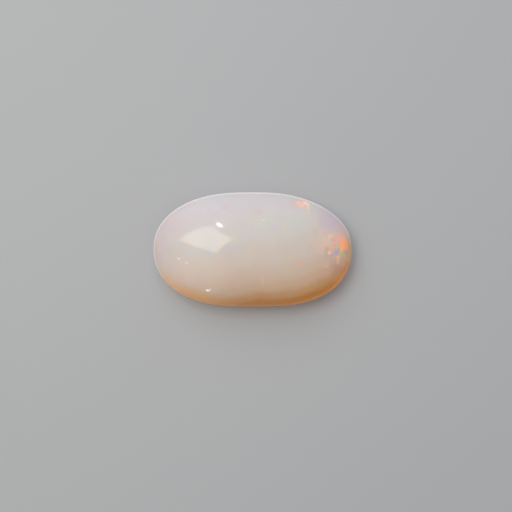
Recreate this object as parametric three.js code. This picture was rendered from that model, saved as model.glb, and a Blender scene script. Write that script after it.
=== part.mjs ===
// A polished white opal: an oval double cabochon, with a high domed crown, a low domed back and a thin
// girdle where the two domes meet.
//
// Millimetres, +Z up. The stone lies on the small flat in the middle of its back, crown up. The origin is on
// that flat, below the middle of the stone. +X runs along the stone, and the amber side faces -Y.

import * as THREE from "three";
import { mergeVertices } from "three/addons/utils/BufferGeometryUtils.js";

// Sizes of the stone
const HALF_LENGTH = 10;
const HALF_WIDTH = 5.785;
const CROWN_HEIGHT = 3.6; // from the girdle up to the top of the crown
const BACK_DEPTH = 1.6; // from the girdle down to the lowest point of the whole back dome
const REST_CUT = 0.12; // how much of that depth the flat takes away

// Shape of the girdle, seen from above. Its squareness is a superellipse's power: 2 is an ellipse, and more
// is squarer. It varies a little round the stone, as it does on one shaped by hand.
const SQUARENESS = 2.466;
const LOWER_SIDE_FULLER = 0.218; // the -Y side has squarer shoulders than the +Y side
const ENDS_ROUNDER = 0.224; // the two ends are rounder than the long sides
const DIAGONAL_SKEW = 0.083; // one pair of opposite shoulders is squarer than the other

// Fineness of the faceted surface
const STEPS_AROUND = 112;
const CROWN_RINGS = 20;
const BACK_RINGS = 10;

// Finish
const OPAL_COLOUR = 0xd2c3b8;
const OPAL_ROUGHNESS = 0.12;

const GIRDLE_Z = BACK_DEPTH - REST_CUT;
const FULL_TURN = 2 * Math.PI;

// Distance from the stone's axis to the girdle, in the direction of angle.
function girdleRadius(angle) {
  const power =
    SQUARENESS -
    LOWER_SIDE_FULLER * Math.sin(angle) -
    ENDS_ROUNDER * Math.cos(2 * angle) -
    DIAGONAL_SKEW * Math.sin(2 * angle);
  const along = Math.abs(Math.cos(angle)) / HALF_LENGTH;
  const across = Math.abs(Math.sin(angle)) / HALF_WIDTH;
  return (along ** power + across ** power) ** (-1 / power);
}

// Half of the stone's section, from the middle of the flat to the top of the crown. Its first number is a
// share of the girdle's radius, and its second is a height. Both domes are quarter ellipses.
function halfSection() {
  const flatAngle = Math.asin(GIRDLE_Z / BACK_DEPTH);
  const points = [new THREE.Vector2(0, 0)];
  for (let ring = 0; ring < BACK_RINGS; ring += 1) {
    const angle = flatAngle * (1 - ring / BACK_RINGS);
    points.push(new THREE.Vector2(Math.cos(angle), GIRDLE_Z - BACK_DEPTH * Math.sin(angle)));
  }
  for (let ring = 0; ring < CROWN_RINGS; ring += 1) {
    const angle = (Math.PI / 2) * (ring / CROWN_RINGS);
    points.push(new THREE.Vector2(Math.cos(angle), GIRDLE_Z + CROWN_HEIGHT * Math.sin(angle)));
  }
  points.push(new THREE.Vector2(0, GIRDLE_Z + CROWN_HEIGHT));
  return points;
}

// Turns the half section round the axis, then draws each ring out to the girdle's shape.
function stoneGeometry() {
  const turned = new THREE.LatheGeometry(halfSection(), STEPS_AROUND, 0, FULL_TURN);
  turned.rotateX(Math.PI / 2);
  turned.deleteAttribute("normal");
  turned.deleteAttribute("uv");
  const position = turned.getAttribute("position");
  for (let i = 0; i < position.count; i += 1) {
    const share = Math.hypot(position.getX(i), position.getY(i));
    const step = Math.atan2(position.getY(i), position.getX(i));
    const angle = Math.atan2(HALF_WIDTH * Math.sin(step), HALF_LENGTH * Math.cos(step));
    const radius = share * girdleRadius(angle);
    position.setXY(i, radius * Math.cos(angle), radius * Math.sin(angle));
  }
  const merged = mergeVertices(turned);
  merged.computeVertexNormals();
  return merged;
}

const opalFinish = new THREE.MeshStandardMaterial({
  color: OPAL_COLOUR,
  roughness: OPAL_ROUGHNESS,
  metalness: 0,
});

const opal = new THREE.Mesh(stoneGeometry(), opalFinish);
opal.name = "opal";

const stone = new THREE.Group();
stone.add(opal);

export default stone;
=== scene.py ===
"""A polished white opal, lying crown up on a pale table in soft studio light.

The stone is an oval double cabochon: a high domed crown over a low domed back, with a small flat ground in
the middle of the back. It is milky white, lilac along its far side and amber along its near side, with a few
patches of play-of-colour towards its right end. Part of the amber is painted light that has crossed the
stone, and the lightened, glowing rim is painted light at its edge.

Sizes of the stone and places on it are in millimetres, and meshes are in metres.
"""

import logging
import math
from dataclasses import dataclass
from enum import Enum

import bmesh
import bpy
from mathutils import Matrix, Vector


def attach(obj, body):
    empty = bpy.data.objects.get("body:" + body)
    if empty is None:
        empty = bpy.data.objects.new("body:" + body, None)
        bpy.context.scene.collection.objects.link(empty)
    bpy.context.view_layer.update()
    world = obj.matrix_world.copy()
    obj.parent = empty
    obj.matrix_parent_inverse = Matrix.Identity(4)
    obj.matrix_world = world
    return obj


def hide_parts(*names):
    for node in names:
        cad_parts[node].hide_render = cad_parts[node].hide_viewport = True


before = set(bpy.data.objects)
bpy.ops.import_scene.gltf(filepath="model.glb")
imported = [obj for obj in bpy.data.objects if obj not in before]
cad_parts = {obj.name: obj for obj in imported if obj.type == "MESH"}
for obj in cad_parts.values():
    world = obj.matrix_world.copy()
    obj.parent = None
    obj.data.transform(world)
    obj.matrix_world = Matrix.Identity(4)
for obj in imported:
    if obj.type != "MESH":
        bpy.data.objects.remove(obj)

log = logging.getLogger("opal")

MM = 0.001
IMAGE_SIDE = 512

Colour = tuple[float, float, float]
Stops = tuple[tuple[float, Colour], ...]  # a ramp's colours, each after its place from 0 to 1
Span = tuple[float, float]  # where a smooth step begins and ends
Waver = tuple[float, float]  # width of a wave, and how far it shifts a place, in millimetres
Point = tuple[float, float]  # a place along a curve and the curve's height there, each from 0 to 1
Pixel = tuple[float, float]  # right and down from the picture's top left corner

BLACK: Colour = (0.0, 0.0, 0.0)
WHITE: Colour = (1.0, 1.0, 1.0)


def linear(red: int, green: int, blue: int) -> Colour:
    """A screen colour of three whole numbers up to 255, as linear light by the sRGB rule."""
    shares = [channel / 255 for channel in (red, green, blue)]
    return tuple(s / 12.92 if s <= 0.04045 else ((s + 0.055) / 1.055) ** 2.4 for s in shares)


class Flash(Enum):
    """The colours that the opal flashes, the white of a tiny speck, and the gold and ember of painted warm
    edge light.
    """

    RED = linear(255, 156, 106)
    ORANGE = linear(255, 176, 112)
    SALMON = linear(248, 176, 154)
    PEACH = linear(252, 212, 188)
    PINK = linear(240, 158, 168)
    ROSE = linear(196, 132, 128)
    YELLOW = linear(240, 214, 112)
    GREEN = linear(204, 216, 136)
    SAGE = linear(182, 186, 168)
    OLIVE = linear(212, 200, 154)
    BLUE = linear(166, 174, 226)
    LAVENDER = linear(208, 187, 207)
    MAGENTA = linear(208, 138, 176)
    WHITE = linear(246, 240, 232)
    GOLD = linear(226, 176, 104)
    EMBER = linear(226, 122, 44)


@dataclass(frozen=True)
class Fleck:
    """One patch at a place on the crown seen from above. Most are play-of-colour, a few are painted edge
    light.

    Attributes:
        flash: Its colour.
        centre: Its middle, in millimetres along and across the stone.
        size: Half its length and half its width, in millimetres.
        turn: Degrees that it is turned about the vertical.
        strength: How much of the body colour it hides, from 0 to 1.
        softness: Width of its fading edge, as a share of its size.
        glow: Painted light that it gives beyond what a white card would send back.
    """

    flash: Flash
    centre: tuple[float, float]
    size: tuple[float, float]
    turn: float
    strength: float
    softness: float
    glow: float = 0.0


@dataclass(frozen=True)
class BodyColourAndPaintedLight:
    """The milky body, from lilac white on the far side to amber on the near side.

    Spans along the stone go from -1 at its left end to 1 at its right end. Spans across it go from -1 at its
    far side to 1 at its near side. The amber is partly the stone's own colour and partly painted light that
    has crossed the stone.

    Attributes:
        colours: Its colours from the far side to the near side, whose amber is partly painted light.
        amber_reach: How far up the amber reaches, from the left end to the right, where 0.5 is its middle.
        cloud_size: Width of the soft clouds that shift those colours, in millimetres.
        cloud_shift: How far they shift them, in the scale of the spans across.
        blush: The cooler tint of the left end.
        blush_share: How much of the body colour the blush hides.
        blush_end: Span along the stone over which it fades.
        blush_side: Span across the stone over which it fades.
        tint_size: Width of the smaller clouds of faint mixed colours, in millimetres.
        tint_share: How much of the body colour they hide.
    """

    colours: Stops = (
        (0.00, linear(212, 208, 214)),
        (0.30, linear(212, 209, 207)),
        (0.53, linear(214, 203, 195)),
        (0.70, linear(216, 194, 178)),
        (0.80, linear(216, 185, 160)),
        (0.89, linear(211, 164, 114)),
        (0.97, linear(205, 130, 22)),
    )
    amber_reach: tuple[Point, ...] = (
        (0.00, 0.36), (0.10, 0.25), (0.235, 0.17), (0.375, 0.36), (0.50, 0.48),
        (0.62, 0.49), (0.745, 0.58), (0.835, 0.70), (0.925, 0.83), (1.00, 0.92),
    )
    cloud_size: float = 4.0
    cloud_shift: float = 0.12
    blush: Colour = linear(205, 190, 197)
    blush_share: float = 0.7
    blush_end: Span = (-1.0, -0.55)
    blush_side: Span = (-0.1, 0.6)
    tint_size: float = 1.7
    tint_share: float = 0.06


@dataclass(frozen=True)
class PaintedRimLight:
    """Painted rim light: the thin edge lightened, pale on the lit side and warm on the near side, and made
    to glow.

    Depths are in millimetres from the girdle. Spans across the stone are as in BodyColourAndPaintedLight.

    Attributes:
        pale: Colour of the painted light on the edge of the lit side.
        warm: Colour of the painted light on the edge of the near side, where light leaves the stone.
        warm_inside: Colour of the wider band of painted warm light inside that edge.
        back_scale: How many times faster depth grows below the girdle than above it.
        end_scale: How much faster it grows at the two ends than in the middle, as a share.
        line: Span of depth over which the edge fades.
        band: Span of depth over which the warm band fades.
        pale_share: How much of the body colour the pale edge hides.
        warm_share: How much of it the warm edge hides.
        band_share: How much of it the warm band hides.
        warm_side: Span across the stone over which the edge turns warm.
        warm_lean: How much further up the stone it does so at the right end.
        band_side: Span across the stone over which the warm band appears.
        pale_glow: Painted glow at the edge of the lit side.
        warm_glow: Painted glow of light crossing the stone, near both ends of the amber side.
        glow_middle: Place along the stone where that light is weakest.
        glow_rise: How fast it grows from there towards both ends.
        glow_side: Span across the stone over which it appears.
        glow_lean: How much further up the stone it does so at the right end.
    """

    pale: Colour = linear(255, 245, 253)
    warm: Colour = linear(244, 176, 88)
    warm_inside: Colour = linear(224, 142, 20)
    back_scale: float = 3.0
    end_scale: float = 0.3
    line: Span = (0.3, 1.1)
    band: Span = (0.6, 2.5)
    pale_share: float = 0.62
    warm_share: float = 0.28
    band_share: float = 0.72
    warm_side: Span = (-0.15, 0.60)
    warm_lean: float = 0.40
    band_side: Span = (-0.1, 0.5)
    pale_glow: float = 0.13
    warm_glow: float = 0.13
    glow_middle: float = 0.12
    glow_rise: float = 1.35
    glow_side: Span = (0.05, 0.55)
    glow_lean: float = 0.06


@dataclass(frozen=True)
class FireFinish:
    """The play-of-colour: the pinfire, which is fine cells of faint colour, and how the patches are drawn.

    Attributes:
        spectrum: Colours of the pinfire.
        strength: How strongly it shows, all over the stone.
        cell_size: Width of its cells in millimetres.
        cell_blur: How softly one cell passes into the next, from 0 to 1.
        cell_waver: The waves that bend the cells.
        lit: Each cell draws a lot from 0 to 1, and lights up over this span of it.
        ragged: The waves that make the edges of the patches ragged.
        crown_edge: Span of height above the girdle over which the patches appear, in millimetres.
    """

    spectrum: Stops = (
        (0.20, Flash.SALMON.value),
        (0.38, Flash.PEACH.value),
        (0.50, Flash.YELLOW.value),
        (0.60, Flash.GREEN.value),
        (0.72, Flash.BLUE.value),
        (0.85, Flash.PINK.value),
    )
    strength: float = 0.045
    cell_size: float = 0.55
    cell_blur: float = 0.3
    cell_waver: Waver = (0.5, 0.5)
    lit: Span = (0.40, 0.70)
    ragged: Waver = (0.3, 0.45)
    crown_edge: Span = (-0.3, 0.1)


@dataclass(frozen=True)
class PolishFinish:
    """The gloss of the crown and the back, and the duller flat.

    Attributes:
        roughness: Roughness of the crown and the back.
        smudge: How much it varies from place to place.
        smudge_size: Width of its smudges in millimetres.
        ground_roughness: How much rougher the flat in the middle of the back is.
        ground_edge: Span of height over which the flat passes into the polish, in millimetres.
        haze: Share of the faint haze that wear leaves over the polish.
        haze_roughness: How far that haze spreads a highlight.
        ripple: Height of the polish's faint waves, in millimetres.
        ripple_size: Width of those waves in millimetres.
    """

    roughness: float = 0.045
    smudge: float = 0.03
    smudge_size: float = 2.5
    ground_roughness: float = 0.28
    ground_edge: Span = (0.005, 0.03)
    haze: float = 0.15
    haze_roughness: float = 0.3
    ripple: float = 0.0028
    ripple_size: float = 1.6


@dataclass(frozen=True)
class OpalAppearance:
    """How the whole opal looks, with light painted into its body and rim.

    Attributes:
        body: Its milky body, partly painted light.
        rim: The painted light at its thin edge.
        fire: Its play-of-colour.
        polish: Its gloss.
        index: Refractive index.
        scatter: How far red, green and blue light spread inside the stone, in millimetres.
    """

    body: BodyColourAndPaintedLight = BodyColourAndPaintedLight()
    rim: PaintedRimLight = PaintedRimLight()
    fire: FireFinish = FireFinish()
    polish: PolishFinish = PolishFinish()
    index: float = 1.45
    scatter: Colour = (1.6, 1.1, 0.6)


class NodeSheet:
    """Adds nodes to one material, world or node group and joins them."""

    MIX_COLOURS = (6, 7)  # the Mix node has inputs for each kind of value, and these take its two colours
    MIX_RESULT = 2

    def __init__(self, tree: bpy.types.NodeTree) -> None:
        """Starts with an empty tree.

        Args:
            tree: The node tree to fill.
        """
        self.tree = tree
        self.tree.nodes.clear()

    def add(self, kind: str, **settings: object) -> bpy.types.Node:
        """Adds a node.

        Args:
            kind: The node's type name, without the leading ShaderNode.
            **settings: Properties of the node, such as operation.

        Returns:
            The node.
        """
        prefix = "" if kind.startswith("Node") else "ShaderNode"
        node = self.tree.nodes.new(prefix + kind)
        for name, value in settings.items():
            setattr(node, name, value)
        return node

    def feed(self, socket: bpy.types.NodeSocket, source: object) -> None:
        """Sets an input to a value, or joins it to another node's output.

        Args:
            socket: The input.
            source: A number, a tuple or an output socket.
        """
        if isinstance(source, bpy.types.NodeSocket):
            self.tree.links.new(source, socket)
        else:
            wanted = len(socket.default_value) if hasattr(socket.default_value, "__len__") else 0
            socket.default_value = (*source, 1.0)[:wanted] if wanted else source

    def show(self, shader: bpy.types.NodeSocket, one_sided: bool = False) -> None:
        """Puts a shader on the surface.

        Args:
            shader: The shader's output.
            one_sided: Whether the surface is clear from behind.
        """
        if one_sided:
            choice = self.add("MixShader")
            self.feed(choice.inputs[0], self.add("NewGeometry").outputs["Backfacing"])
            self.feed(choice.inputs[1], shader)
            self.feed(choice.inputs[2], self.add("BsdfTransparent").outputs[0])
            shader = choice.outputs[0]
        self.feed(self.add("OutputMaterial").inputs["Surface"], shader)

    def math(self, operation: str, *inputs: object, clamp: bool = False) -> bpy.types.NodeSocket:
        """Adds a Math node.

        Args:
            operation: What it works out, such as ADD.
            *inputs: Its numbers or sockets, in order.
            clamp: Whether the result is kept between 0 and 1.

        Returns:
            Its output.
        """
        node = self.add("Math", operation=operation, use_clamp=clamp)
        for socket, source in zip(node.inputs, inputs):
            self.feed(socket, source)
        return node.outputs[0]

    def product(self, *factors: object) -> bpy.types.NodeSocket:
        """Multiplies numbers.

        Args:
            *factors: Two or more numbers or sockets.

        Returns:
            Their product.
        """
        result = factors[0]
        for factor in factors[1:]:
            result = self.math("MULTIPLY", result, factor)
        return result

    def share(self, value: object, clamp: bool = False) -> bpy.types.NodeSocket:
        """Turns a number from -1 to 1 into a share from 0 to 1."""
        return self.math("MULTIPLY_ADD", value, 0.5, 0.5, clamp=clamp)

    def vector(self, operation: str, *inputs: object) -> bpy.types.NodeSocket:
        """Adds a Vector Math node.

        Args:
            operation: What it works out, such as SUBTRACT.
            *inputs: Its vectors or sockets, in order. For SCALE, the second is the factor.

        Returns:
            Its vector output, or its number for DOT_PRODUCT.
        """
        node = self.add("VectorMath", operation=operation)
        if operation == "SCALE":
            self.feed(node.inputs[0], inputs[0])
            self.feed(node.inputs["Scale"], inputs[1])
        else:
            for socket, source in zip(node.inputs, inputs):
                self.feed(socket, source)
        return node.outputs["Value" if operation == "DOT_PRODUCT" else "Vector"]

    def ease(
        self, value: object, start: object, end: object, falling: bool = False
    ) -> bpy.types.NodeSocket:
        """Adds a smooth step.

        Args:
            value: The number to judge.
            start: Where the step begins.
            end: Where it ends, above start.
            falling: Whether it goes from 1 down to 0, not from 0 up to 1.

        Returns:
            The step, from 0 to 1.
        """
        node = self.add("MapRange", interpolation_type="SMOOTHSTEP")
        self.feed(node.inputs["Value"], value)
        self.feed(node.inputs["From Min"], start)
        self.feed(node.inputs["From Max"], end)
        node.inputs["To Min"].default_value = 1.0 if falling else 0.0
        node.inputs["To Max"].default_value = 0.0 if falling else 1.0
        return node.outputs["Result"]

    def mix(self, factor: object, first: object, second: object) -> bpy.types.NodeSocket:
        """Mixes two colours.

        Args:
            factor: Share of the second colour.
            first: A colour or an output.
            second: A colour or an output.

        Returns:
            The mixed colour.
        """
        node = self.add("Mix", data_type="RGBA", clamp_factor=True)
        self.feed(node.inputs["Factor"], factor)
        for index, source in zip(self.MIX_COLOURS, (first, second)):
            self.feed(node.inputs[index], source)
        return node.outputs[self.MIX_RESULT]

    def noise(self, place: object, size: float, detail: float = 2.0) -> bpy.types.Node:
        """Adds a cloudy pattern.

        Args:
            place: Where to read it, in millimetres.
            size: The size of its clouds, in millimetres.
            detail: How many finer layers it has.

        Returns:
            The node, with a number called Fac and a colour called Color.
        """
        node = self.add("TexNoise", noise_dimensions="3D")
        self.feed(node.inputs["Vector"], place)
        node.inputs["Scale"].default_value = 1 / size
        node.inputs["Detail"].default_value = detail
        return node

    def wavered(self, place: object, size: float, reach: float) -> bpy.types.NodeSocket:
        """Shifts places a little, so that what is drawn with them has ragged edges.

        Args:
            place: The places, in millimetres.
            size: Width of the waves in millimetres.
            reach: How far they shift a place, in millimetres.

        Returns:
            The shifted places.
        """
        middle = (0.5, 0.5, 0.5)
        waves = self.noise(place, size, detail=3.0).outputs["Color"]
        centred = self.vector("SUBTRACT", waves, middle)
        return self.vector("ADD", place, self.vector("SCALE", centred, reach))

    def ramp(self, value: object, stops: Stops) -> bpy.types.NodeSocket:
        """Adds a colour ramp.

        Args:
            value: Where along the ramp to read it.
            stops: Pairs of place and colour.

        Returns:
            The colour.
        """
        node = self.add("ValToRGB")
        band = node.color_ramp
        band.interpolation = "EASE"
        while len(band.elements) < len(stops):
            band.elements.new(0.5)
        for element, (place, colour) in zip(band.elements, stops):
            element.position = place
            element.color = (*colour, 1.0)
        self.feed(node.inputs["Fac"], value)
        return node.outputs["Color"]

    def curve(self, value: object, points: tuple[Point, ...]) -> bpy.types.NodeSocket:
        """Adds a smooth curve through given points.

        Args:
            value: Where along the curve to read it, from 0 to 1.
            points: Pairs of place and height.

        Returns:
            The height there.
        """
        node = self.add("FloatCurve")
        track = node.mapping.curves[0]
        while len(track.points) < len(points):
            track.points.new(0.5, 0.5)
        for point, location in zip(track.points, points):
            point.location = location
        node.mapping.update()
        self.feed(node.inputs["Value"], value)
        return node.outputs[0]


def fleck_group() -> bpy.types.NodeTree:
    """Builds one soft-edged fleck with square shoulders, laid over the colour below it.

    Returns:
        A group that takes the colour below, the flash, a place, and the fleck's centre, size, turn, softness
        and strength. It gives the colour with the fleck, and the fleck's mask.
    """
    group = bpy.data.node_groups.new("opal_fleck", "ShaderNodeTree")
    for name in ("Below", "Flash"):
        group.interface.new_socket(name=name, in_out="INPUT", socket_type="NodeSocketColor")
    for name in ("Place", "Centre", "Size"):
        group.interface.new_socket(name=name, in_out="INPUT", socket_type="NodeSocketVector")
    for name in ("Turn", "Softness", "Strength"):
        group.interface.new_socket(name=name, in_out="INPUT", socket_type="NodeSocketFloat")
    group.interface.new_socket(name="Colour", in_out="OUTPUT", socket_type="NodeSocketColor")
    group.interface.new_socket(name="Mask", in_out="OUTPUT", socket_type="NodeSocketFloat")
    sheet = NodeSheet(group)
    given = sheet.add("NodeGroupInput").outputs
    result = sheet.add("NodeGroupOutput").inputs
    offset = sheet.vector("SUBTRACT", given["Place"], given["Centre"])
    turned = sheet.add("VectorRotate", rotation_type="Z_AXIS", invert=True)
    sheet.feed(turned.inputs["Vector"], offset)
    sheet.feed(turned.inputs["Angle"], given["Turn"])
    shares = sheet.vector("DIVIDE", turned.outputs[0], given["Size"])
    flat = sheet.vector("MULTIPLY", shares, (1.0, 1.0, 0.0))
    squares = sheet.vector("MULTIPLY", flat, flat)
    # The fourth root of the sum of fourth powers is 1 all along a square with round corners.
    reach = sheet.math("POWER", sheet.vector("DOT_PRODUCT", squares, squares), 1 / 4)
    start = sheet.math("SUBTRACT", 1.0, given["Softness"])
    end = sheet.math("ADD", 1.0, given["Softness"])
    mask = sheet.product(sheet.ease(reach, start, end, falling=True), given["Strength"])
    sheet.feed(result["Colour"], sheet.mix(mask, given["Below"], given["Flash"]))
    sheet.feed(result["Mask"], mask)
    return group


def placed(name: str, data: bpy.types.ID) -> bpy.types.Object:
    """Puts a new object in the scene.

    Args:
        name: Its name.
        data: Its mesh, light or camera.

    Returns:
        The object.
    """
    thing = bpy.data.objects.new(name, data)
    bpy.context.scene.collection.objects.link(thing)
    return thing


def placed_mesh(name: str, mesh: bmesh.types.BMesh) -> bpy.types.Object:
    """Puts a finished mesh in the scene.

    Args:
        name: Its name.
        mesh: Its shape, which is freed.

    Returns:
        The object.
    """
    data = bpy.data.meshes.new(name)
    mesh.to_mesh(data)
    mesh.free()
    return placed(name, data)


@dataclass
class Opal:
    """The polished stone.

    Attributes:
        half_length: Half the girdle's longest diameter.
        half_width: Half its width.
        crown_height: From the girdle up to the top of the crown.
        back_depth: From the girdle down to the lowest point of the whole back dome.
        rest_cut: How much of that depth the flat takes away.
        squareness: The girdle's superellipse power, where 2 is an ellipse.
        lower_side_fuller: How much squarer the near side's shoulders are.
        ends_rounder: How much rounder the two ends are.
        diagonal_skew: How much squarer one pair of opposite shoulders is.
        flat_border: Width of the band in which the flat meets the back.
        slope_step: How far apart the places are from which the crown's slope is worked out.
        steps_around: Columns of faces.
        rings: Rows of faces from the back to the crown, an even number.
        appearance: Its colours and polish.
        flecks: Its patches of play-of-colour and of painted edge light, each laid over those before it.
        fire_zones: Where the pinfire is stronger. Their colour isn't used.
    """

    half_length: float = 10.0
    half_width: float = 5.785
    crown_height: float = 3.6
    back_depth: float = 1.6
    rest_cut: float = 0.12
    squareness: float = 2.466
    lower_side_fuller: float = 0.218
    ends_rounder: float = 0.224
    diagonal_skew: float = 0.083
    flat_border: float = 0.15
    slope_step: float = 0.002
    steps_around: int = 360
    rings: int = 180
    appearance: OpalAppearance = OpalAppearance()
    flecks: tuple[Fleck, ...] = ()
    fire_zones: tuple[Fleck, ...] = ()

    @property
    def girdle_z(self) -> float:
        """Height of the girdle above the flat, in millimetres."""
        return self.back_depth - self.rest_cut

    def girdle_radius(self, angle: float) -> float:
        """Finds how far the girdle is from the stone's axis.

        Args:
            angle: Direction from the axis, in radians.

        Returns:
            The distance in millimetres.
        """
        power = (
            self.squareness
            - self.lower_side_fuller * math.sin(angle)
            - self.ends_rounder * math.cos(2 * angle)
            - self.diagonal_skew * math.sin(2 * angle)
        )
        along = abs(math.cos(angle)) / self.half_length
        across = abs(math.sin(angle)) / self.half_width
        return (along**power + across**power) ** (-1 / power)

    def crown_z(self, x: float, y: float) -> float:
        """Finds the crown's height.

        Args:
            x: Place along the stone, in millimetres.
            y: Place across the stone.

        Returns:
            The height above the flat in millimetres.
        """
        share = math.hypot(x, y) / self.girdle_radius(math.atan2(y, x))
        return self.girdle_z + self.crown_height * math.sqrt(max(0.0, 1 - share * share))

    def crown_normal(self, x: float, y: float) -> Vector:
        """Finds which way the crown faces.

        Args:
            x: Place along the stone, in millimetres.
            y: Place across the stone.

        Returns:
            The outward direction.
        """
        half = self.slope_step / 2
        rise_x = (self.crown_z(x + half, y) - self.crown_z(x - half, y)) / self.slope_step
        rise_y = (self.crown_z(x, y + half) - self.crown_z(x, y - half)) / self.slope_step
        return Vector((-rise_x, -rise_y, 1.0)).normalized()

    def surface_point(self, ball: Vector) -> Vector:
        """Carries a point of a unit ball to the stone.

        Args:
            ball: The point on the ball.

        Returns:
            The point on the stone's two domes, in metres.
        """
        share = min(1.0, math.hypot(ball.x, ball.y))
        step = math.atan2(ball.y, ball.x)
        angle = math.atan2(self.half_width * math.sin(step), self.half_length * math.cos(step))
        radius = share * self.girdle_radius(angle)
        dome = self.crown_height if ball.z > 0 else self.back_depth
        height = self.girdle_z + dome * ball.z
        return Vector((radius * math.cos(angle), radius * math.sin(angle), height)) * MM

    def build(self) -> bpy.types.Object:
        """Shapes the stone and grinds the flat in its back.

        Returns:
            The stone, riding on the body and in place of the plain solid.
        """
        mesh = bmesh.new()
        bmesh.ops.create_uvsphere(
            mesh, u_segments=self.steps_around, v_segments=self.rings, radius=1.0
        )
        for vertex in mesh.verts:
            vertex.co = self.surface_point(vertex.co)
        self.grind_flat(mesh)
        for face in mesh.faces:
            face.smooth = True
        stone = placed_mesh("opal_stone", mesh)
        stone.data.materials.append(self.material())
        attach(stone, "root")
        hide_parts("opal")
        log.info("%s: %d faces", stone.name, len(stone.data.polygons))
        return stone

    def grind_flat(self, mesh: bmesh.types.BMesh) -> None:
        """Cuts the back at the resting plane and closes it with a flat.

        Args:
            mesh: The whole stone, which is changed.
        """
        everything = [*mesh.verts, *mesh.edges, *mesh.faces]
        bmesh.ops.bisect_plane(
            mesh, geom=everything, plane_co=(0, 0, 0), plane_no=(0, 0, 1), clear_inner=True
        )
        open_edges = [edge for edge in mesh.edges if edge.is_boundary]
        made = bmesh.ops.contextual_create(mesh, geom=open_edges)
        bmesh.ops.inset_region(mesh, faces=made["faces"], thickness=self.flat_border * MM)
        bmesh.ops.poke(mesh, faces=made["faces"])
        bmesh.ops.recalc_face_normals(mesh, faces=mesh.faces)

    def material(self) -> bpy.types.Material:
        """Makes the opal's material.

        Returns:
            The material.
        """
        material = bpy.data.materials.new("milky_opal")
        material.use_nodes = True
        OpalSheet(material.node_tree, self).fill()
        return material


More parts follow.
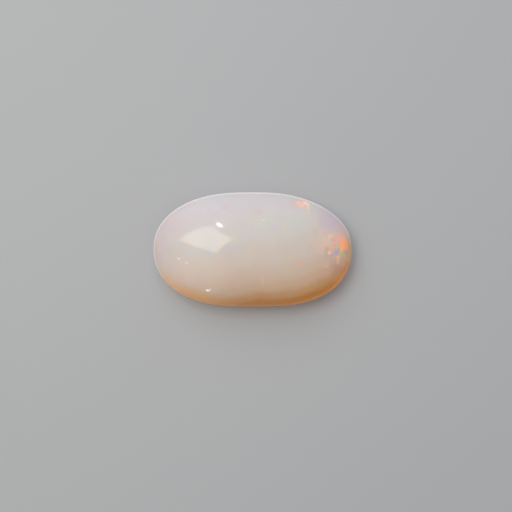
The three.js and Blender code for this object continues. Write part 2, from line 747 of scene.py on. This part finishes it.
class OpalSheet(NodeSheet):
    """The nodes of the opal's material, whose colours are read from places on the stone.

    Attributes:
        stone: The stone.
        appearance: Its colours and polish.
        group: The fleck group.
        point: The place that is shaded, in millimetres.
        along: How far along the stone it is, from -1 at the left end to 1 at the right end.
        near: How far across the stone it is, from -1 at the far side to 1 at the near side.
        height: Its height above the flat, in millimetres.
    """

    def __init__(self, tree: bpy.types.NodeTree, stone: Opal) -> None:
        """Builds the fleck group, and reads where the shaded place lies.

        Args:
            tree: The material's node tree.
            stone: The stone.
        """
        super().__init__(tree)
        self.stone = stone
        self.appearance = stone.appearance
        self.group = fleck_group()
        self.point = self.vector("SCALE", self.add("TexCoord").outputs["Object"], 1 / MM)
        axes = self.add("SeparateXYZ")
        self.feed(axes.inputs[0], self.point)
        self.along = self.math("DIVIDE", axes.outputs["X"], stone.half_length)
        self.near = self.math("DIVIDE", axes.outputs["Y"], -stone.half_width)
        self.height = axes.outputs["Z"]

    def fill(self) -> None:
        """Adds the body, the painted rim light, the play-of-colour and the polish, and the shader that shows
        them.
        """
        appearance = self.appearance
        body, edge_light = self.rimmed(self.body_colour_and_light())
        body = self.pinfired(body)
        fire, glow = self.flecked(body, edge_light)
        crown_start, crown_end = (self.stone.girdle_z + edge for edge in appearance.fire.crown_edge)
        crown = self.ease(self.height, crown_start, crown_end)
        shader = self.add("BsdfPrincipled")
        self.feed(shader.inputs["Base Color"], self.mix(crown, body, fire))
        # The emission is painted light: the glow of the rim and of the brightest flecks.
        self.feed(shader.inputs["Emission Color"], self.mix(crown, edge_light, glow))
        shader.inputs["Emission Strength"].default_value = 1.0
        self.feed(shader.inputs["Roughness"], self.roughness())
        self.feed(shader.inputs["Normal"], self.ripples())
        shader.inputs["Coat Weight"].default_value = appearance.polish.haze
        shader.inputs["Coat Roughness"].default_value = appearance.polish.haze_roughness
        shader.inputs["IOR"].default_value = appearance.index
        shader.inputs["Subsurface Weight"].default_value = 1.0
        shader.inputs["Subsurface Radius"].default_value = appearance.scatter
        shader.inputs["Subsurface Scale"].default_value = MM
        self.show(shader.outputs["BSDF"])

    def body_colour_and_light(self) -> bpy.types.NodeSocket:
        """Shades the milky body from its far side to its amber near side.

        The amber, partly painted light that has crossed the stone, reaches further up towards the right end,
        and the left end has a cool blush.

        Returns:
            The body colour.
        """
        body = self.appearance.body
        cloud = self.noise(self.point, body.cloud_size, detail=3.0).outputs["Fac"]
        reach = self.curve(self.share(self.along), body.amber_reach)
        # The middle of the clouds is 0.5, and so is the middle of the reach.
        drift = self.math("MULTIPLY_ADD", cloud, body.cloud_shift, -0.5 * body.cloud_shift - 0.5)
        side = self.math("ADD", self.math("ADD", self.near, reach), drift)
        # The ramp's amber is partly painted light that has crossed the stone from its lit far side.
        colour = self.ramp(self.share(side, clamp=True), body.colours)
        left = self.ease(self.along, *body.blush_end, falling=True)
        pale_side = self.ease(self.near, *body.blush_side, falling=True)
        blushed = self.mix(self.product(left, pale_side, body.blush_share), colour, body.blush)
        tint = self.noise(self.point, body.tint_size).outputs["Color"]
        return self.mix(body.tint_share, blushed, tint)

    def rimmed(self, body: bpy.types.NodeSocket) -> tuple[bpy.types.NodeSocket, bpy.types.NodeSocket]:
        """Paints light on the thin edge, cool on the far side and warm on the near side.

        Args:
            body: The body colour.

        Returns:
            The body colour with its rim, and the light that leaves the stone at the rim.
        """
        rim = self.appearance.rim
        # Painted rim light: the edge and a band inside it are lightened and tinted, and given a glow.
        above = self.math("SUBTRACT", self.height, self.stone.girdle_z)
        away = self.math("MAXIMUM", above, self.product(above, -rim.back_scale))
        end_share = self.product(self.along, self.along)
        depth = self.product(away, self.math("MULTIPLY_ADD", end_share, rim.end_scale, 1.0))
        warm_near = self.math("MULTIPLY_ADD", self.along, rim.warm_lean, self.near)
        warmth = self.ease(warm_near, *rim.warm_side)
        spread = self.ease(depth, *rim.band, falling=True)
        lower = self.product(self.ease(self.near, *rim.band_side), rim.band_share)
        warmed = self.mix(self.product(spread, warmth, lower), body, rim.warm_inside)
        line = self.ease(depth, *rim.line, falling=True)
        edge = self.mix(warmth, rim.pale, rim.warm)
        change = rim.warm_share - rim.pale_share
        strength = self.math("MULTIPLY_ADD", warmth, change, rim.pale_share)
        result = self.mix(self.product(line, strength), warmed, edge)
        cool = self.math("SUBTRACT", 1.0, warmth)
        pale_light = self.mix(self.product(line, cool, rim.pale_glow), BLACK, rim.pale)
        off_middle = self.math("SUBTRACT", self.along, rim.glow_middle)
        off_squared = self.product(off_middle, off_middle)
        ends = self.math("MULTIPLY", off_squared, rim.glow_rise, clamp=True)
        glow_near = self.math("MULTIPLY_ADD", self.along, rim.glow_lean, self.near)
        low = self.ease(glow_near, *rim.glow_side)
        warm_light = self.product(ends, low, spread, rim.warm_glow)
        return result, self.mix(warm_light, pale_light, rim.warm)

    def pinfired(self, body: bpy.types.NodeSocket) -> bpy.types.NodeSocket:
        """Lays fine cells of faint spectral colour over the body, stronger in the fire zones.

        Args:
            body: The colour under them.

        Returns:
            The colour with its pinfire.
        """
        fire = self.appearance.fire
        cells = self.add("TexVoronoi", feature="SMOOTH_F1")
        self.feed(cells.inputs["Vector"], self.wavered(self.point, *fire.cell_waver))
        cells.inputs["Scale"].default_value = 1 / fire.cell_size
        cells.inputs["Smoothness"].default_value = fire.cell_blur
        lots = self.add("SeparateColor")
        self.feed(lots.inputs[0], cells.outputs["Color"])
        flash = self.ramp(lots.outputs[0], fire.spectrum)
        lit = self.ease(lots.outputs[1], *fire.lit)
        strength = fire.strength
        for zone in self.stone.fire_zones:
            strength = self.math("ADD", self.fleck_node(zone, self.point).outputs["Mask"], strength)
        return self.mix(self.product(lit, strength), body, flash)

    def flecked(
        self, body: bpy.types.NodeSocket, glow: bpy.types.NodeSocket
    ) -> tuple[bpy.types.NodeSocket, bpy.types.NodeSocket]:
        """Lays the patches of play-of-colour and of painted edge light over the body.

        Args:
            body: The colour under them.
            glow: The painted glow under them.

        Returns:
            The colour with its flecks, and the painted glow of the rim and of its brightest flecks.
        """
        ragged = self.wavered(self.point, *self.appearance.fire.ragged)
        colour = body
        for fleck in self.stone.flecks:
            node = self.fleck_node(fleck, ragged)
            self.feed(node.inputs["Below"], colour)
            colour = node.outputs["Colour"]
            if fleck.glow:
                share = self.product(node.outputs["Mask"], fleck.glow)
                glow = self.mix(share, glow, fleck.flash.value)
        return colour, glow

    def fleck_node(self, fleck: Fleck, place: bpy.types.NodeSocket) -> bpy.types.Node:
        """Sets one fleck's own values on a copy of the fleck group.

        Args:
            fleck: The fleck.
            place: The place that is shaded, in millimetres.

        Returns:
            The group's node.
        """
        node = self.add("Group", node_tree=self.group)
        self.feed(node.inputs["Flash"], fleck.flash.value)
        self.feed(node.inputs["Place"], place)
        node.inputs["Centre"].default_value = (*fleck.centre, 0.0)
        node.inputs["Size"].default_value = (*fleck.size, 1.0)
        node.inputs["Turn"].default_value = math.radians(fleck.turn)
        node.inputs["Softness"].default_value = fleck.softness
        node.inputs["Strength"].default_value = fleck.strength
        return node

    def roughness(self) -> bpy.types.NodeSocket:
        """Varies the gloss a little, and dulls the ground flat.

        Returns:
            The roughness.
        """
        polish = self.appearance.polish
        smudge = self.noise(self.point, polish.smudge_size, detail=3.0).outputs["Fac"]
        smoothest = polish.roughness - polish.smudge / 2
        gloss = self.math("MULTIPLY_ADD", smudge, polish.smudge, smoothest)
        ground = self.ease(self.height, *polish.ground_edge, falling=True)
        return self.math("MULTIPLY_ADD", ground, polish.ground_roughness, gloss)

    def ripples(self) -> bpy.types.NodeSocket:
        """Gives the polish the faint waves of hand work.

        Returns:
            The normal.
        """
        polish = self.appearance.polish
        bump = self.add("Bump")
        self.feed(bump.inputs["Height"], self.noise(self.point, polish.ripple_size).outputs["Fac"])
        bump.inputs["Strength"].default_value = 1.0
        bump.inputs["Distance"].default_value = polish.ripple * MM
        return bump.outputs["Normal"]


@dataclass
class StoneCamera:
    """The camera, looking down on the stone almost square to its crown.

    Attributes:
        stone: The stone it looks at.
        lens: Focal length in millimetres.
        sensor: Width of the sensor in millimetres.
        distance: From the point it looks at, in millimetres.
        lean: Degrees that it leans from the vertical towards the stone's far side.
        aim: The point it looks at, in millimetres along and across the stone.
        nearest: How near it sees, in metres.
        farthest: How far it sees, in metres.
        rounds: How many times the point at which a line of sight meets the crown is worked out anew.
    """

    stone: Opal
    lens: float = 62.4
    sensor: float = 36.0
    distance: float = 89.86
    lean: float = 4.0
    aim: tuple[float, float] = (0.352, -0.653)
    nearest: float = 0.005
    farthest: float = 20.0
    rounds: int = 30

    @property
    def axes(self) -> Matrix:
        """The camera's own right, up and backward directions, as columns."""
        return Matrix.Rotation(math.radians(-self.lean), 3, "X")

    @property
    def position(self) -> Vector:
        """Where the camera stands, in millimetres."""
        target = Vector((*self.aim, self.stone.girdle_z))
        return target + self.axes.col[2] * self.distance

    def build(self) -> bpy.types.Object:
        """Makes the scene's camera.

        Returns:
            The camera.
        """
        data = bpy.data.cameras.new("stone_camera")
        data.lens = self.lens
        data.sensor_width = self.sensor
        data.clip_start = self.nearest
        data.clip_end = self.farthest
        camera = placed("stone_camera", data)
        camera.matrix_world = Matrix.LocRotScale(self.position * MM, self.axes.to_quaternion(), None)
        bpy.context.scene.camera = camera
        log.info("%s: %.1f mm from the stone", camera.name, self.distance)
        return camera

    def mirrored(self, pixel: Pixel) -> tuple[Vector, Vector]:
        """Follows the view through a pixel to the crown, and back off it as off a mirror.

        Args:
            pixel: The pixel.

        Returns:
            The point on the crown in millimetres, and the direction that shows in it there.
        """
        focus = self.lens / self.sensor * IMAGE_SIDE
        right = (pixel[0] - IMAGE_SIDE / 2) / focus
        up = (IMAGE_SIDE / 2 - pixel[1]) / focus
        sight = (self.axes @ Vector((right, up, -1.0))).normalized()
        height = self.stone.girdle_z
        for _ in range(self.rounds):
            point = self.position + sight * ((height - self.position.z) / sight.z)
            height = self.stone.crown_z(point.x, point.y)
        return point, sight.reflect(self.stone.crown_normal(point.x, point.y))


@dataclass(frozen=True)
class Panel:
    """A flat glowing panel, whose outline shows in the stone at given pixels of the picture.

    Attributes:
        name: Its name.
        outline: The pixels of its corners' reflections, in order round the panel.
        radiance: Its brightness, where 1 is a lit white card.
        colour: Its tint.
        distance: From the stone, in millimetres.
    """

    name: str
    outline: tuple[Pixel, ...]
    radiance: float
    colour: Colour
    distance: float = 160.0

    def build(self, camera: StoneCamera) -> bpy.types.Object:
        """Hangs the panel.

        Args:
            camera: The camera that sees its reflection.

        Returns:
            The panel.
        """
        seen = [camera.mirrored(pixel) for pixel in self.outline]
        facing = sum((direction for _, direction in seen), Vector()).normalized()
        middle = sum((point for point, _ in seen), Vector()) / len(seen)
        mesh = bmesh.new()
        corners = []
        for point, direction in seen:
            reach = (self.distance - (point - middle).dot(facing)) / direction.dot(facing)
            corners.append(mesh.verts.new((point + direction * reach) * MM))
        edges = [mesh.edges.new(pair) for pair in zip(corners, corners[1:] + corners[:1])]
        bmesh.ops.contextual_create(mesh, geom=edges)
        for face in mesh.faces:
            face.normal_update()
            if face.normal.dot(facing) > 0:
                face.normal_flip()
        panel = placed_mesh(self.name, mesh)
        panel.data.materials.append(self.material())
        panel.visible_camera = False
        panel.visible_shadow = False
        log.info("%s: %d corners", self.name, len(self.outline))
        return panel

    def material(self) -> bpy.types.Material:
        """Makes the panel glow on the side that faces the stone.

        Returns:
            The material.
        """
        material = bpy.data.materials.new(f"{self.name}_cloth")
        material.use_nodes = True
        sheet = NodeSheet(material.node_tree)
        glow = sheet.add("Emission")
        sheet.feed(glow.inputs["Color"], self.colour)
        glow.inputs["Strength"].default_value = self.radiance
        sheet.show(glow.outputs[0], one_sided=True)
        return material


@dataclass(frozen=True)
class Studio:
    """The table and the soft light round it.

    Attributes:
        floor_side: Side of the square table top, in metres.
        floor_colour: Its colour.
        floor_roughness: Its roughness.
        sky: Radiance of the room all round.
        light_side: Side of each square soft light, in metres.
        key_radiance: Brightness of the wide soft light over the stone's far side.
        key_place: Where it hangs, in metres.
        low_radiance: Brightness of the soft light under the table, which shows the stone's back.
        low_place: Where it lies, in metres.
    """

    floor_side: float = 4.0
    floor_colour: Colour = linear(176, 178, 182)
    floor_roughness: float = 0.75
    sky: float = 0.444
    light_side: float = 0.30
    key_radiance: float = 1.74
    key_place: tuple[float, float, float] = (-0.06, 0.20, 0.24)
    low_radiance: float = 1.00
    low_place: tuple[float, float, float] = (0.0, 0.0, -0.15)

    def build(self) -> None:
        """Lays the table and hangs the lights."""
        self.lay_floor()
        self.hang_light("wide_light", self.key_radiance, self.key_place)
        self.hang_light("low_light", self.low_radiance, self.low_place)
        self.fill_room()
        view = bpy.context.scene.view_settings
        view.view_transform = "Standard"
        view.look = "None"
        log.info("studio: table %.1f m wide", self.floor_side)

    def lay_floor(self) -> None:
        """Makes the table top, which is clear from below so that the back can be seen and lit."""
        mesh = bmesh.new()
        bmesh.ops.create_grid(mesh, x_segments=1, y_segments=1, size=self.floor_side / 2)
        floor = placed_mesh("table_top", mesh)
        material = bpy.data.materials.new("table_card")
        material.use_nodes = True
        sheet = NodeSheet(material.node_tree)
        shader = sheet.add("BsdfPrincipled")
        sheet.feed(shader.inputs["Base Color"], self.floor_colour)
        shader.inputs["Roughness"].default_value = self.floor_roughness
        sheet.show(shader.outputs[0], one_sided=True)
        floor.data.materials.append(material)
        floor.visible_shadow = False

    def hang_light(self, name: str, radiance: float, place: tuple[float, float, float]) -> None:
        """Hangs a soft light that faces the stone and leaves no reflection of its own.

        Args:
            name: Its name.
            radiance: Its brightness, where 1 is a lit white card.
            place: Where it hangs, in metres.
        """
        data = bpy.data.lights.new(name, "AREA")
        data.shape = "SQUARE"
        data.size = self.light_side
        # Each square metre of an even, flat light gives pi times its radiance.
        data.energy = math.pi * radiance * self.light_side**2
        light = placed(name, data)
        light.location = place
        light.rotation_euler = Vector(place).to_track_quat("Z", "Y").to_euler()
        light.visible_camera = False
        light.visible_glossy = False

    def fill_room(self) -> None:
        """Gives the room its even light."""
        world = bpy.data.worlds.new("room")
        world.use_nodes = True
        bpy.context.scene.world = world
        sheet = NodeSheet(world.node_tree)
        glow = sheet.add("Background")
        sheet.feed(glow.inputs["Color"], WHITE)
        glow.inputs["Strength"].default_value = self.sky
        sheet.feed(sheet.add("OutputWorld").inputs["Surface"], glow.outputs[0])


# After its flash and its centre, each fleck gives its size, turn, strength and softness, and then its
# painted glow if it has one.
FIRE_ZONES = (
    Fleck(Flash.WHITE, (8.2, 1.0), (1.7, 1.5), 0, 0.16, 0.7),
    Fleck(Flash.WHITE, (8.3, -1.0), (1.3, 1.2), 0, 0.14, 0.7),
    Fleck(Flash.WHITE, (5.0, 4.6), (1.0, 0.6), -15, 0.10, 0.6),
)
RIGHT_END_FIRE_AND_EDGE_LIGHT = (
    Fleck(Flash.LAVENDER, (7.90, 2.90), (1.50, 0.95), -38, 0.55, 0.80),
    # Painted warm light that has crossed the stone, along the edge of the right end.
    Fleck(Flash.GOLD, (9.95, -0.70), (0.42, 1.75), 4, 0.60, 0.60),
    # Painted warm light, with a painted glow, along the lower right edge.
    Fleck(Flash.EMBER, (8.85, -3.25), (0.95, 0.26), 50, 0.35, 0.60, 0.20),
    Fleck(Flash.EMBER, (9.55, -1.90), (0.36, 0.62), -14, 0.50, 0.70, 0.03),
    Fleck(Flash.PEACH, (7.60, 0.80), (1.15, 1.00), 0, 0.30, 0.80, 0.02),
    Fleck(Flash.SAGE, (7.29, -0.10), (0.22, 0.50), 0, 0.40, 0.55),
    Fleck(Flash.OLIVE, (6.80, -0.89), (0.28, 0.50), -8, 0.32, 0.60),
    Fleck(Flash.PEACH, (7.20, -1.55), (0.34, 0.10), 0, 0.30, 0.60),
    Fleck(Flash.ROSE, (8.51, -1.80), (0.55, 0.60), 0, 0.32, 0.80),
    Fleck(Flash.BLUE, (8.33, -0.08), (0.27, 0.30), 0, 0.45, 0.55),
    Fleck(Flash.LAVENDER, (7.85, -0.10), (0.30, 0.22), 0, 0.35, 0.60),
    Fleck(Flash.MAGENTA, (7.78, -0.42), (0.14, 0.12), 0, 0.35, 0.50),
    Fleck(Flash.ROSE, (9.26, -0.14), (0.20, 0.22), 0, 0.22, 0.60),
    Fleck(Flash.SALMON, (8.72, 1.24), (0.50, 0.26), -8, 0.55, 0.60, 0.08),
    Fleck(Flash.SALMON, (8.95, 1.75), (0.26, 0.24), 0, 0.30, 0.60),
    Fleck(Flash.PINK, (8.02, 1.08), (0.22, 0.18), 0, 0.42, 0.45, 0.03),
    Fleck(Flash.PEACH, (7.65, 1.40), (0.20, 0.18), 0, 0.45, 0.50),
    Fleck(Flash.RED, (9.12, 0.56), (0.38, 0.48), 8, 0.82, 0.58, 0.25),
    Fleck(Flash.ORANGE, (9.00, 0.52), (0.22, 0.32), 0, 0.60, 0.65, 0.12),
    Fleck(Flash.ORANGE, (8.17, 0.50), (0.13, 0.22), 0, 0.60, 0.50, 0.03),
    Fleck(Flash.RED, (7.40, 0.20), (0.11, 0.18), 20, 0.50, 0.50),
    Fleck(Flash.PEACH, (7.62, -0.16), (0.12, 0.20), 25, 0.75, 0.50),
    Fleck(Flash.YELLOW, (8.79, 0.04), (0.14, 0.24), 15, 0.58, 0.50),
    Fleck(Flash.GREEN, (8.94, -0.34), (0.12, 0.24), 10, 0.57, 0.50),
    Fleck(Flash.YELLOW, (8.61, -0.56), (0.19, 0.14), 0, 0.42, 0.55),
    Fleck(Flash.PEACH, (8.45, -0.92), (0.13, 0.40), 4, 0.42, 0.55),
)
FAR_SIDE_FIRE = (
    Fleck(Flash.PINK, (4.01, 4.62), (0.34, 0.36), 0, 0.14, 0.70),
    Fleck(Flash.PEACH, (4.74, 4.66), (0.42, 0.32), -6, 0.62, 0.25, 0.03),
    Fleck(Flash.SALMON, (4.70, 4.90), (0.40, 0.11), -8, 0.30, 0.50),
    Fleck(Flash.PINK, (4.43, 4.54), (0.15, 0.14), 0, 0.35, 0.50),
    Fleck(Flash.OLIVE, (4.82, 4.58), (0.20, 0.12), 0, 0.30, 0.60),
    Fleck(Flash.PEACH, (5.37, 4.66), (0.34, 0.15), -34, 0.75, 0.35, 0.10),
    Fleck(Flash.RED, (5.19, 4.92), (0.12, 0.07), -20, 0.55, 0.50),
    Fleck(Flash.PEACH, (5.48, 4.28), (0.14, 0.18), 0, 0.50, 0.50),
    Fleck(Flash.PEACH, (5.49, 3.90), (0.12, 0.30), 0, 0.25, 0.60),
    Fleck(Flash.GREEN, (5.84, 4.69), (0.17, 0.11), -30, 0.25, 0.55),
)
BODY_FIRE_AND_EDGE_LIGHT = (
    # This broad peach patch lightens and warms the near half of the left end.
    Fleck(Flash.PEACH, (-5.40, -2.40), (2.10, 1.50), 0, 0.16, 0.85),
    # Painted warm light that has crossed the stone, along the near edge at the left.
    Fleck(Flash.GOLD, (-4.80, -4.65), (2.20, 0.50), -16, 0.38, 0.80),
    Fleck(Flash.SAGE, (6.19, 1.84), (0.30, 0.46), 0, 0.14, 0.60),
    Fleck(Flash.SALMON, (4.65, -0.97), (0.24, 0.20), 0, 0.40, 0.55),
    Fleck(Flash.PINK, (0.55, 3.92), (0.30, 0.16), 0, 0.18, 0.55),
    Fleck(Flash.GREEN, (-0.14, 3.68), (0.30, 0.10), 0, 0.20, 0.50),
    Fleck(Flash.PEACH, (1.04, -2.89), (0.14, 0.44), 0, 0.18, 0.70),
)
SPECKS = (
    Fleck(Flash.WHITE, (-7.28, -0.78), (0.12, 0.12), 0, 0.50, 0.45),
    Fleck(Flash.WHITE, (-6.43, -1.15), (0.13, 0.09), 0, 0.50, 0.45),
    Fleck(Flash.WHITE, (1.09, 3.04), (0.14, 0.06), 0, 0.45, 0.45),
)
SOFTBOX = Panel(
    "softbox",
    outline=(
        (178.6, 240.0), (191.8, 231.9), (201.8, 227.3),
        (210.5, 226.9), (232.0, 238.8), (216.1, 253.8),
    ),
    radiance=3.95,
    colour=(1.0, 0.935, 0.78),
)
LAMP = Panel(
    "lamp",
    outline=(
        (216.6, 224.1), (218.0, 223.3), (220.2, 223.5), (222.3, 225.3),
        (223.2, 226.9), (219.6, 226.4), (217.2, 225.5),
    ),
    radiance=36.0,
    colour=(0.96, 0.98, 1.0),
)
LOW_LAMP = Panel(
    "low_lamp",
    outline=(
        (204.8, 291.1), (206.4, 289.9), (208.0, 289.0), (209.6, 288.6),
        (211.0, 289.2), (211.0, 290.6), (209.2, 291.2), (206.8, 291.4),
    ),
    radiance=10.0,
    colour=(1.0, 0.91, 0.91),
)


def main() -> None:
    """Builds the stone, the camera, the studio and the glowing panels."""
    logging.basicConfig(level=logging.INFO, format="%(name)s %(message)s")
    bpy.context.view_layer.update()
    flecks = RIGHT_END_FIRE_AND_EDGE_LIGHT + FAR_SIDE_FIRE + BODY_FIRE_AND_EDGE_LIGHT + SPECKS
    opal = Opal(flecks=flecks, fire_zones=FIRE_ZONES)
    opal.build()
    camera = StoneCamera(opal)
    camera.build()
    Studio().build()
    for panel in (SOFTBOX, LAMP, LOW_LAMP):
        panel.build(camera)


if __name__ == "__main__":
    main()
